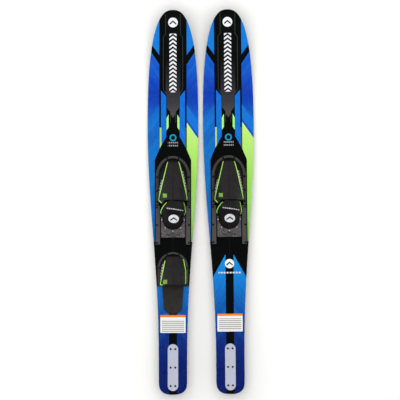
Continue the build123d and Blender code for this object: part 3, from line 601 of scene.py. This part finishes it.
def toe_skin(shape, ends, marks_left, marks_right, grip):
    """Outside, inside and colours of a toe hood. The tongue between the edgings stands proud, with upright
    pleats towards the mouth and slanted creases ahead of them; ribs follow the edgings on the sides, with
    short pale dashes printed beside them. The sides are coloured darker than the tongue, partly in the
    rubber's own tone and partly as painted shade for the gap between frame and hood, and the pleats' crests
    carry a painted highlight."""
    length = abs(shape["open"] - shape["closed"])
    angle = np.linspace(-np.pi / 2, np.pi / 2, AROUND)[None, :]
    share = np.sin(angle)
    ear = shape["ear"] * np.exp(-(((share + 0.78) / 0.13) ** 2)) - shape["scallop"] * np.cos(angle) ** 2
    reach = (length + ear) * (np.linspace(0, 1, DOWN)[:, None] ** 1.5)
    grid = hood(shape, angle, reach)
    across, along = grid[..., 0], grid[..., 1]
    edge = np.where(share < 0, trim_share(shape, reach, ends[0]), trim_share(shape, reach, ends[1]))
    half = np.maximum(np.abs(across / np.where(np.abs(share) < 1e-6, 1, share)), 1)
    beside = (np.abs(share) - edge) * half
    tongue = 1 - step(beside, -1.5, 3.0)
    down = reach / length
    relief = 0.9 * tongue * step(down, 0.12, 0.1)
    pleats = np.cos(2 * np.pi * across / 7.4) * step(down, 0.52, 0.35) * (1 - step(np.abs(across), 27, 8))
    relief += 0.55 * pleats * tongue
    for start in (0.36, 0.46, 0.56):
        crease = (down - start - 0.0042 * np.abs(across)) * length / 2.6
        relief -= 0.8 * np.exp(-(crease**2)) * tongue * step(np.abs(across), 5, 4)
    ribs = np.cos(2 * np.pi * beside / 5.5) * (1 - tongue)
    ribs = ribs * step(down, 0.16, 0.1) * (1 - step(np.abs(share), 0.985, 0.02))
    relief += 0.35 * ribs
    outer = grid + facing(grid) * relief[..., None]
    outer[0] = grid[0]
    inner_shape = hollow(shape, TOE_WALL)
    inner_length = abs(inner_shape["open"] - inner_shape["closed"])
    inner = hood(inner_shape, angle, (inner_length + ear) * (np.linspace(0, 1, DOWN)[:, None] ** 1.5))
    # The sides take the near-black colour that is partly painted shade; the tongue is laid over them.
    colours = over(np.array(filled(RUBBER_SIDE_AND_SHADE, outer)), tongue * step(down, 0.08, 0.06), RUBBER_TONGUE)
    # Painted highlight: the crests of the pleats on the tongue are coloured lighter.
    colours = over(colours, 0.35 * np.clip(pleats, 0, 1) * tongue, (56, 54, 56))
    for side, (low, high) in ((-1, marks_left), (1, marks_right)):
        dash = (np.abs(beside - 5.5) < 3) & (down > low) & (down < high)
        dash &= np.mod(reach + 0.6 * beside, 12) < 7.5
        colours = over(colours, (dash & (share * side > 0)) * 0.9, PRINT_PALE)
    bar = (np.abs(across - grip[0]) < 9) & (np.abs(along - grip[1]) < 9) & (np.mod(across + along, 5.2) < 2.8)
    colours = over(colours, bar * 0.95, TRIM_LIME)
    return outer, inner, colours


def rubber(name, low=0.45, high=0.62):
    """Foam rubber with a fine leather-like skin: its colour comes with the piece, and cells a
    millimetre or two across break its gloss."""
    finish = Finish(name, Specular_IOR_Level=0.1)
    tint = finish.add("Attribute", out="Color", attribute_name="tint")
    cells = finish.add("TexVoronoi", {"Vector": finish.place, "Scale": 700, "Randomness": 1}, "Distance")
    grain = finish.noise(0.0009, detail=4)
    clouds = finish.noise(0.02)
    tone = finish.lay(tint, finish.span(clouds, 0.35, 0.7, 0, 0.22), paint(8, 8, 8))
    finish.colour(tone)
    finish.gloss(clouds, low, high)
    finish.relief(finish.work("ADD", cells, finish.work("MULTIPLY", grain, 0.7)), 0.00012)
    return finish.material


def edging(points, normals, widths, height):
    """Flat-bottomed round edging along a path on a hood: each section is a ring of points whose
    across part is the width times a cosine and whose up part is the height times a sine."""
    ahead = np.gradient(points, axis=0)
    ahead /= np.linalg.norm(ahead, axis=1, keepdims=True)
    out = np.cross(ahead, normals)
    out /= np.linalg.norm(out, axis=1, keepdims=True)
    turn = np.linspace(0, 2 * np.pi, 17)
    ends = np.sqrt(np.clip(np.minimum(np.arange(len(points)), np.arange(len(points))[::-1]) / 3, 0, 1))
    flat = (ends * widths / 2)[:, None, None] * np.cos(turn)[None, :, None] * out[:, None]
    tall = (ends * height)[:, None, None] * np.sin(turn)[None, :, None] * normals[:, None]
    return points[:, None] + flat + tall


def along_hood(shape, shares, reach):
    """Points and outward normals on a hood at given shares of its half width."""
    angle = np.arcsin(shares)
    points = hood(shape, angle, reach)
    round_it = hood(shape, angle + 0.01, reach) - points
    down_it = hood(shape, angle, reach + 0.5) - points
    normal = np.cross(round_it, down_it)
    normal *= np.sign(normal[:, 2:3] + 1e-9)
    return points, normal / np.linalg.norm(normal, axis=1, keepdims=True)


def toe_edgings(shape, ends, thin, thick):
    """Two edgings from the nose of a hood to its mouth, growing wider, the left one turning in
    along the mouth's ear."""
    length = abs(shape["open"] - shape["closed"])
    grids = []
    for side in (-1, 1):
        line = ends[0] if side < 0 else ends[1]
        reach = np.linspace(abs(line[0][0] - shape["closed"]), 0.985 * length, 70)
        shares = trim_share(shape, reach, line)
        if side < 0:
            reach = np.append(reach, length + shape["ear"] * np.linspace(0.1, 0.92, 12))
            shares = np.append(shares, shares[-1] - (shares[-1] - 0.78) * np.linspace(0.15, 1, 12) ** 0.8)
        points, normals = along_hood(shape, side * shares, reach)
        grow = np.clip(reach / length, 0, 1)
        widths = thin + (thick - thin) * grow**2
        widths[reach > length] *= np.linspace(0.8, 0.45, (reach > length).sum())
        grids.append(edging(points + normals * 0.7, normals, widths, 1.9))
    return grids


def satin_lime(name):
    """Satin coloured rubber with faint clouds and a fine grain."""
    finish = Finish(name, Specular_IOR_Level=0.4)
    clouds = finish.noise(0.012)
    finish.colour(finish.lay(paint(*TRIM_LIME), finish.span(clouds, 0.35, 0.7, 0, 0.35), paint(140, 208, 66)))
    finish.gloss(clouds, 0.36, 0.5)
    finish.relief(finish.noise(0.0008), 0.00004)
    return finish.material


def plan_half(along, closed, nose, half):
    """Half width of a horseshoe's plan at a distance along: a quarter ellipse over its nose."""
    return half * np.sqrt(np.clip(1 - (1 - np.clip(np.abs(along - closed) / nose, 0, 1)) ** 2, 0, 1))


def foam_bed(along, half, low, thick, relief):
    """Foam bed as rings along the ski. Each ring is a rounded rectangle, from a cosine and a sine
    taken to a small power; relief is added where the ring faces up."""
    turn = np.linspace(0, 2 * np.pi, 161)[None, :]
    squared = lambda wave: np.sign(wave) * np.abs(wave) ** 0.28
    ends = np.clip(np.minimum(np.arange(len(along)), np.arange(len(along))[::-1]) / 4, 0, 1)[:, None] ** 0.4
    across = np.maximum(half[:, None] * (0.96 + 0.04 * ends), 0.01) * squared(np.cos(turn))
    rise = low + thick / 2 + thick / 2 * ends * squared(np.sin(turn))
    rise = rise + relief(across, along[:, None]) * (np.sin(turn) > 0.2) * ends
    grid = np.stack(np.broadcast_arrays(across, along[:, None], rise), axis=-1)
    caps = [np.stack([grid[k], np.broadcast_to(grid[k].mean(0), grid[k].shape)]) for k in (0, -1)]
    return [grid, *caps]


def tread(across, along):
    """Diamond grooves a few tenths deep."""
    one_way = np.abs(np.mod(across + along, 9) - 4.5) < 0.7
    other_way = np.abs(np.mod(across - along, 9) - 4.5) < 0.7
    return -0.35 * one_way - 0.35 * other_way


def flange(shape, outline, low, high):
    """Flat skirt that a frame clamps: a ring between the hood's foot and an outer horseshoe."""
    turn = np.linspace(-np.pi / 2, np.pi / 2, 90)
    rings = []
    way = math.copysign(1, shape["open"] - shape["closed"])
    for half, closed, nose, end in (
        (shape["half"] - 2, shape["closed"] + 2 * way, shape["nose"] - 2, outline["end"]),
        (outline["half"], outline["closed"], outline["nose"], outline["end"]),
    ):
        centre = closed + way * nose
        arc = np.column_stack([half * np.sin(turn), centre - way * nose * np.cos(turn)])
        legs = np.linspace(end, centre, 14)[:-1]
        left = np.column_stack([np.full(13, -half), legs])
        right = np.column_stack([np.full(13, half), legs[::-1]])
        rings.append(np.concatenate([left, arc, right]))
    inner, outer = rings
    corners = [(inner, low), (outer, low), (outer, high), (inner, high), (inner, low)]
    grid = np.stack([np.column_stack([ring, np.full(len(ring), z)]) for ring, z in corners], axis=1)
    caps = [np.stack([grid[k], np.broadcast_to(grid[k].mean(0), grid[k].shape)]) for k in (0, -1)]
    return [grid, *caps]


frame_material = moulded("grained_nylon", paint(52, 50, 50), paint(68, 66, 66), 0.48, 0.62)
rubber_material = rubber("foam_rubber")
bed_material = rubber("foam_bed_skin", 0.6, 0.75)
lime_material = satin_lime("lime_edging")
toe_shape = {**TOE, "ear": 13.0, "scallop": 2.5}
toe_outline = {"closed": 200.8, "nose": 90.8, "half": 73.4, "end": -8.8}


def toe_piece(side, name, shape, ends, outline, marks, grip, edges, body):
    """Upper and edgings of one toe piece, in place of their plain solids."""
    outer, inner, colours = toe_skin(shape, ends, *marks, grip)
    wall = shell(outer, inner)
    skirt = flange(shape, outline, 20.0, 22.0)
    tints = [colours] + [filled(RUBBER_INSIDE, grid) for grid in wall[1:] + skirt]
    upper = make(f"{side}_{name}_hood", side, wall + skirt, rubber_material, tints)
    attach(upper, body)
    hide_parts(f"{side}_{name}_upper")
    trims = make(f"{side}_{name}_edgings", side, toe_edgings(shape, ends, *edges), lime_material)
    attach(trims, body)
    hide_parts(f"{side}_{name}_trim")


def lay_bed(side, name, node, grids, body, colour):
    """A foam bed in place of its plain solid."""
    bed = make(f"{side}_{name}", side, grids, bed_material, [filled(colour, grid) for grid in grids])
    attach(bed, body)
    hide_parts(f"{side}_{node}")


toe_rows = np.linspace(25.3, 170.5, 90)
for side in ("left", "right"):
    ski = side + "_ski"
    toe_marks = ((0.52, 0.92), (0.30, 0.84))
    toe_piece(side, "toe", toe_shape, TOE_TRIM, toe_outline, toe_marks, (-36, 28), (3.6, 8.0), ski)
    toe_half = np.minimum(plan_half(toe_rows, 171.0, 75.6, 53.6), 53.6)
    lay_bed(side, "toe_foam", "toe_bed", foam_bed(toe_rows, toe_half, 20.0, 3.9, tread), ski, (30, 30, 31))
    dress(side + "_toe_frame", frame_material)
    dress(side + "_binding_screws", screw_material)

insert_material = brushed("insert_brass", paint(176, 138, 62), paint(204, 168, 92), 0.9, 0.3, 0.45, (1, 1, 1))
for side in ("left", "right"):
    dress(side + "_inserts", insert_material)

# ---------------------------------------------------------------------------------------------
# The rails: two grained nylon bars a side, screwed to the deck. Their lips hold the slider down and
# the racks inside their grooves give it its steps.

rail_material = moulded("rail_nylon", paint(66, 62, 63), paint(80, 76, 76), 0.42, 0.55)
for side in ("left", "right"):
    dress(side + "_inner_rail", rail_material)
    dress(side + "_outer_rail", rail_material)

# ---------------------------------------------------------------------------------------------
# The heel sliders: a moulded carriage under a pebbled tread plate, riveted together, and on them the
# heel cup, a foam rubber hood that leans forward, with lime edging on its wings and a plain badge.

HEEL = {
    "closed": -117.0, "open": 10.0, "nose": 45.0, "half": 45.0, "height": 76.0, "power": 0.5,
    "floor": 23.8, "flare": 11.0, "square": 0.12,
}
HEEL_LENGTH = HEEL["open"] - HEEL["closed"]
HEEL_WALL = 6.0
RUBBER_HEEL = (19, 19, 19)
RUBBER_BAND = (37, 36, 38)
BADGE = (3.0, -72.0, 23.0, 18.0)
RIM_LEFT = ((8.0, -49.0), (76.0, 10.0))
RIM_RIGHT = ((8.0, -52.0), (46.0, 5.0))


def rim_along(height, share):
    """Where the cup's slanted rim lies at a height: straight from the wing's foot to the top, and
    steeper on the right than on the left."""
    left = np.interp(height, [RIM_LEFT[0][0], RIM_LEFT[1][0]], [RIM_LEFT[0][1], RIM_LEFT[1][1]])
    right = np.interp(height, [RIM_RIGHT[0][0], RIM_RIGHT[1][0]], [RIM_RIGHT[0][1], RIM_RIGHT[1][1]])
    turn = step(share, 0.0, 0.5)
    return left * (1 - turn) + right * turn


def rim_reach(shape, angle):
    """How far the cup reaches at an angle of its arch: halving steps close in on the reach at which
    the point lies on the slanted rim."""
    low, high = np.full(angle.shape, 20.0), np.full(angle.shape, 130.0)
    for _ in range(30):
        middle = (low + high) / 2
        point = hood(shape, angle, middle)
        past = point[..., 1] > rim_along(point[..., 2] - shape["floor"], np.sin(angle))
        low, high = np.where(past, low, middle), np.where(past, middle, high)
    return low


def heel_skin():
    """Outside, inside and colours of the heel cup: ribs fan out round the back of its foot, a flat
    band runs under the top of the rim, and a pale broken line crosses it ahead of the badge."""
    angle = np.linspace(-np.pi / 2, np.pi / 2, AROUND)[None, :]
    share = np.sin(angle)
    rows = np.linspace(0, 1, DOWN)[:, None] ** 1.4
    grid = hood(HEEL, angle, rim_reach(HEEL, angle) * rows)
    across, along, up = grid[..., 0], grid[..., 1], grid[..., 2] - HEEL["floor"]
    around = np.arctan2(across, -(along + 72.0))
    foot = step(up, 4, 4) * (1 - step(up, 30, 16))
    relief = 0.5 * np.cos(around * 34) * foot * (1 - step(along, -52, 20))
    band = step(along, -25, 3)
    relief = relief + 0.8 * band
    groove = np.exp(-(((along + 44 + 0.004 * across**2) / 1.6) ** 2))
    relief = relief - 0.7 * groove * (1 - step(np.abs(share), 0.8, 0.2))
    outer = grid + facing(grid) * relief[..., None]
    outer[0] = grid[0]
    inner_shape = hollow(HEEL, HEEL_WALL)
    inner = hood(inner_shape, angle, rim_reach(inner_shape, angle) * rows)
    colours = over(np.array(filled(RUBBER_HEEL, outer)), band * 0.8, RUBBER_BAND)
    line = (np.abs(along + 31 + 0.14 * (across - 8)) < 2.3) & (across > -27) & (across < 44)
    line &= np.mod(across, 9.5) < 7
    return outer, inner, over(colours, line * 0.92, (214, 214, 218))


def wing_edging(side, low, high, widths):
    """Edging along the rim of one wing, from one height to another."""
    heights = np.linspace(low, high, 40)
    shares = np.full(40, 0.8)
    for _ in range(12):
        y = rim_along(heights, side * shares)
        reach = y - HEEL["closed"]
        crown = HEEL["height"] * np.sqrt(np.maximum(reach, 1) / HEEL_LENGTH)
        shares = np.sqrt(np.clip(1 - (heights / crown) ** 2, 0, 1))
    points, normals = along_hood(HEEL, side * shares, reach - 1.2)
    return edging(points + normals * 0.3, normals, np.linspace(*widths, 40), 1.5)


def on_cup(across, along):
    """Height of the cup's outside over a point."""
    reach = along - HEEL["closed"]
    half = HEEL["half"] * np.sqrt(1 - (1 - np.clip(reach / HEEL["nose"], 0, 1)) ** 2)
    height = HEEL["height"] * np.sqrt(reach / HEEL_LENGTH)
    plain = np.clip(np.abs(across / half), 0, 1)
    share = plain
    for _ in range(8):
        share = plain ** (1 / (1 - HEEL["square"] * step(share * np.sign(across), 0.2, 0.5)))
    return HEEL["floor"] + height * np.sqrt(1 - share**2)


def badge():
    """Oval pad on the cup: rings from its middle to its rounded edge, a millimetre and a half
    proud, with one plain chevron sunk in it."""
    turn = np.linspace(0, 2 * np.pi, 73)[None, :]
    rings = np.concatenate([np.linspace(0, 0.93, 26), [0.97, 1.0, 1.0]])[:, None]
    across = BADGE[0] + BADGE[2] * rings * np.cos(turn)
    along = BADGE[1] + BADGE[3] * rings * np.sin(turn)
    lift = 1.6 * np.concatenate([np.ones(26), [0.85, 0.5, -0.4]])[:, None]
    mark = np.abs(along + 0.7 * np.abs(across - BADGE[0]) - BADGE[1] - 4) < 3.2
    mark &= rings < 0.72
    lift = lift - 0.7 * mark
    grid = np.stack([across, along, on_cup(across, along) + lift], axis=-1)
    under = np.stack([grid[-1], np.broadcast_to(grid[0].mean(0) - (0, 0, 3.0), grid[-1].shape)])
    colours = over(np.array(filled((226, 227, 230), grid)), mark * 1.0, (24, 24, 26))
    return [grid, under], [colours, filled((60, 60, 62), under)]


def pebbled(side):
    """Tread plate of the slider: raised pebbles a millimetre across, coloured lighter on their tops and
    darker between them as painted shade, under larger light and dark specks, and a short row of plain dark
    bars each side of the lever."""
    finish = Finish(side + "_pebbled_tread", Specular_IOR_Level=0.25)
    across, along = on_ski(finish, side)
    spot = finish.add("CombineXYZ", {0: finish.work("ABSOLUTE", across), 1: along, 2: 1.0})
    cells = {"Vector": finish.place, "Scale": 620}
    pebbles = finish.add("TexVoronoi", cells, "Distance", feature="SMOOTH_F1")
    clouds = finish.noise(0.01)
    # Painted shade: the tread is lighter on the pebbles' tops and darker between them, from the same field
    # that gives their bump.
    tone = finish.lay(paint(92, 89, 90), finish.span(pebbles, 0.15, 0.75, 0, 1), paint(52, 50, 51))
    specks = finish.noise(0.0034, detail=1)
    tone = finish.lay(tone, finish.span(specks, 0.48, 0.62, 0, 0.55), paint(124, 121, 122))
    tone = finish.lay(tone, finish.span(specks, 0.50, 0.36, 0, 0.6), paint(40, 39, 40))
    for inner in (12, 18.5, 25):
        bar = patch(finish, spot, [(inner, -143), (inner + 5, -143), (inner + 5, -137), (inner, -137)])
        tone = finish.lay(tone, finish.work("MULTIPLY", bar, 0.9), paint(26, 25, 26))
    finish.colour(tone)
    finish.gloss(clouds, 0.4, 0.55)
    finish.relief(finish.span(pebbles, 0, 0.7, 1, 0), 0.0004)
    return finish.material


heel_outer, heel_inner, heel_colours = heel_skin()
heel_shell = shell(heel_outer, heel_inner)
heel_tints = [heel_colours] + [filled(RUBBER_INSIDE, grid) for grid in heel_shell[1:]]
wing_grids = [wing_edging(-1, 6, 66, (6.0, 3.6)), wing_edging(1, 6, 44, (5.0, 3.4))]
badge_grids, badge_tints = badge()
heel_rows = np.linspace(-95.5, 5.0, 90)
heel_half = plan_half(heel_rows, -95.5, 39.0, 37.5)
carriage_material = moulded("carriage_nylon", paint(20, 20, 22), paint(32, 32, 34))
rivet_material = brushed(
    "rivet_bright", paint(206, 206, 210), paint(232, 232, 234), 0.35, 0.3, 0.4, (1, 1, 1)
)
badge_material = rubber("badge_rubber", 0.35, 0.45)
for side in ("left", "right"):
    slider = side + "_heel_slider"
    cup = make(side + "_heel_cup", side, heel_shell, rubber_material, heel_tints)
    wings = make(side + "_wing_edgings", side, wing_grids, lime_material)
    mark = make(side + "_cup_badge", side, badge_grids, badge_material, badge_tints)
    for piece, node, slot in (
        (cup, "heel_upper", "uppers"),
        (wings, "heel_trim", "trim"),
        (mark, "heel_badge", "badge"),
    ):
        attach(piece, slider)
        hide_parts(f"{side}_{node}")
    heel_foam = foam_bed(heel_rows, heel_half, 23.8, 4.9, tread)
    lay_bed(side, "heel_foam", "heel_bed", heel_foam, slider, (30, 30, 31))
    dress(side + "_slider_carriage", carriage_material)
    dress(side + "_slider_cover", pebbled(side))
    dress(side + "_slider_rivets", rivet_material)

# ---------------------------------------------------------------------------------------------
# The locks: a grey-coated steel lever on a bright pin with a torsion spring, and two aluminium
# bars that it draws out of the racks.

lever_material = moulded("lever_coat", paint(62, 60, 61), paint(84, 82, 82), 0.35, 0.45)
steel_material = brushed(
    "spring_steel", paint(150, 150, 154), paint(186, 186, 190), 0.9, 0.25, 0.4, (1, 1, 1)
)
bar_material = brushed(
    "bar_aluminium", paint(150, 152, 156), paint(184, 186, 190), 0.85, 0.3, 0.45, (30, 1, 1)
)
for side in ("left", "right"):
    dress(side + "_lock_lever", lever_material)
    dress(side + "_lever_pin", steel_material)
    dress(side + "_lever_spring", steel_material)
    dress(side + "_inner_lock_bar", bar_material)
    dress(side + "_outer_lock_bar", bar_material)

# ---------------------------------------------------------------------------------------------
# The rear toe piece of the left ski: a smaller hood in its own frame, with a long foam pad that runs
# out of its mouth for the back foot.

REAR = {
    "closed": -223.6, "open": -357.0, "nose": 60.0, "half": 55.4, "height": 84.0, "power": 0.62,
    "floor": 20.0, "flare": 0.0, "square": 0.0,
}
REAR_TRIM = (((-251.0, 34.0), (-355.0, 54.0)), ((-245.0, 45.0), (-335.0, 61.0)))
rear_shape = {**REAR, "ear": 2.0, "scallop": -2.0}
rear_outline = {"closed": -216.2, "nose": 66.8, "half": 64.8, "end": -362.8}
rear_marks = ((0.34, 0.86), (2, 3))
toe_piece(
    "left", "rear", rear_shape, REAR_TRIM, rear_outline, rear_marks, (-35, -346), (4.2, 6.2), "left_ski"
)
rear_rows = np.linspace(-482.6, -236.0, 130)
rear_half = 46.0 - 5.0 * np.clip((-365 - rear_rows) / 70, 0, 1) ** 1.5
rear_half = np.minimum(rear_half, plan_half(rear_rows, -236.0, 54.0, 46.0))
rear_half = rear_half * (1 - (1 - np.clip((rear_rows + 482.6) / 46, 0, 1)) ** 3) ** 0.42
pad_grooves = lambda across, along: -0.3 * (np.abs(np.mod(across, 8) - 4) < 0.6) * np.ones_like(along)
rear_bed = foam_bed(rear_rows, rear_half, 20.0, 4.9, pad_grooves)
lay_bed("left", "rear_foam", "rear_pad", rear_bed, "left_ski", (47, 46, 43))
dress("left_rear_frame", frame_material)
dress("left_rear_screws", screw_material)
